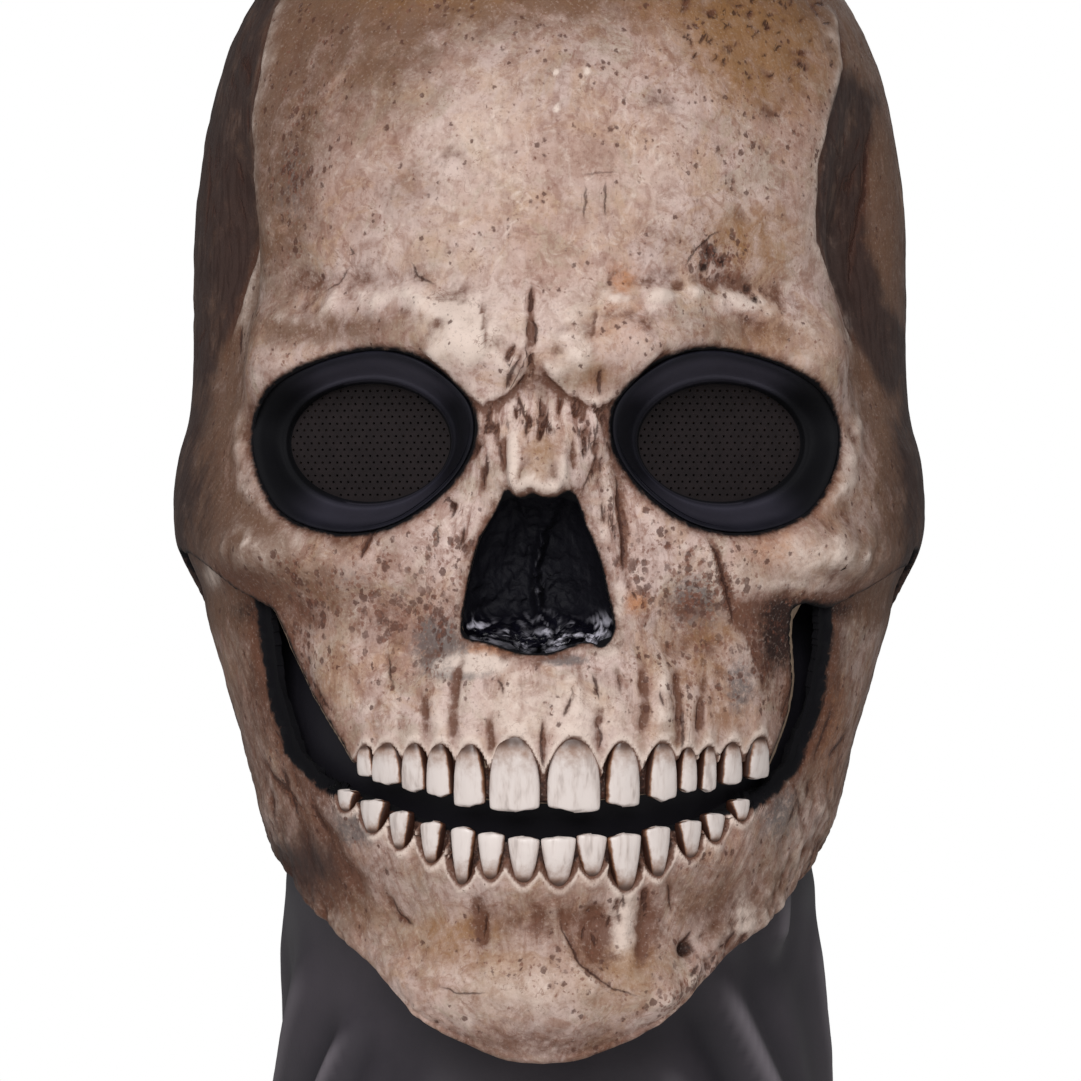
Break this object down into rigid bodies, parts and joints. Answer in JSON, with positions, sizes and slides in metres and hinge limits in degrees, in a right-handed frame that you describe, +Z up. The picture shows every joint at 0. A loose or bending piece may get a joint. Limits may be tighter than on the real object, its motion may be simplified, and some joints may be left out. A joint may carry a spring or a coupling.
{
  "type": "full-head skull mask with a separate lower jaw",
  "caption": "Full-head latex skull mask with a bared row of teeth, a lower jaw on a black hood, and mesh-covered eyes.",
  "frame": {"origin": "inside top of the crown, where the mask sits on the wearer's head", "axes": "+Z up, -Y the way the face looks, +X to the viewer's right when looking at the face"},
  "size_m": [0.207, 0.2375, 0.371],
  "materials": {
    "bone_latex": "hand-painted matt latex, mottled bone",
    "tooth_enamel": "satin, stained brown at the gums",
    "socket_latex": "matt blue-black latex",
    "gloss_latex": "wet-looking gloss black latex",
    "eye_screen": "matt black perforated screen",
    "hood_latex": "smooth matt black latex"
  },
  "bodies": {
    "root": {"skull_shell": "bone_latex", "jaw": "bone_latex", "tooth_upper_01": "tooth_enamel", "tooth_upper_02": "tooth_enamel", "tooth_upper_03": "tooth_enamel", "tooth_upper_04": "tooth_enamel", "tooth_upper_05": "tooth_enamel", "tooth_upper_06": "tooth_enamel", "tooth_upper_07": "tooth_enamel", "tooth_upper_08": "tooth_enamel", "tooth_upper_09": "tooth_enamel", "tooth_upper_10": "tooth_enamel", "tooth_upper_11": "tooth_enamel", "tooth_upper_12": "tooth_enamel", "tooth_upper_13": "tooth_enamel", "tooth_lower_01": "tooth_enamel", "tooth_lower_02": "tooth_enamel", "tooth_lower_03": "tooth_enamel", "tooth_lower_04": "tooth_enamel", "tooth_lower_05": "tooth_enamel", "tooth_lower_06": "tooth_enamel", "tooth_lower_07": "tooth_enamel", "tooth_lower_08": "tooth_enamel", "tooth_lower_09": "tooth_enamel", "tooth_lower_10": "tooth_enamel", "tooth_lower_11": "tooth_enamel", "tooth_lower_12": "tooth_enamel", "tooth_lower_13": "tooth_enamel", "tooth_lower_14": "tooth_enamel", "eye_socket_left": "socket_latex", "eye_socket_right": "socket_latex", "eye_mesh_left": "eye_screen", "eye_mesh_right": "eye_screen", "nose_cavity": "gloss_latex", "hood": "hood_latex"}
  },
  "joints": []
}
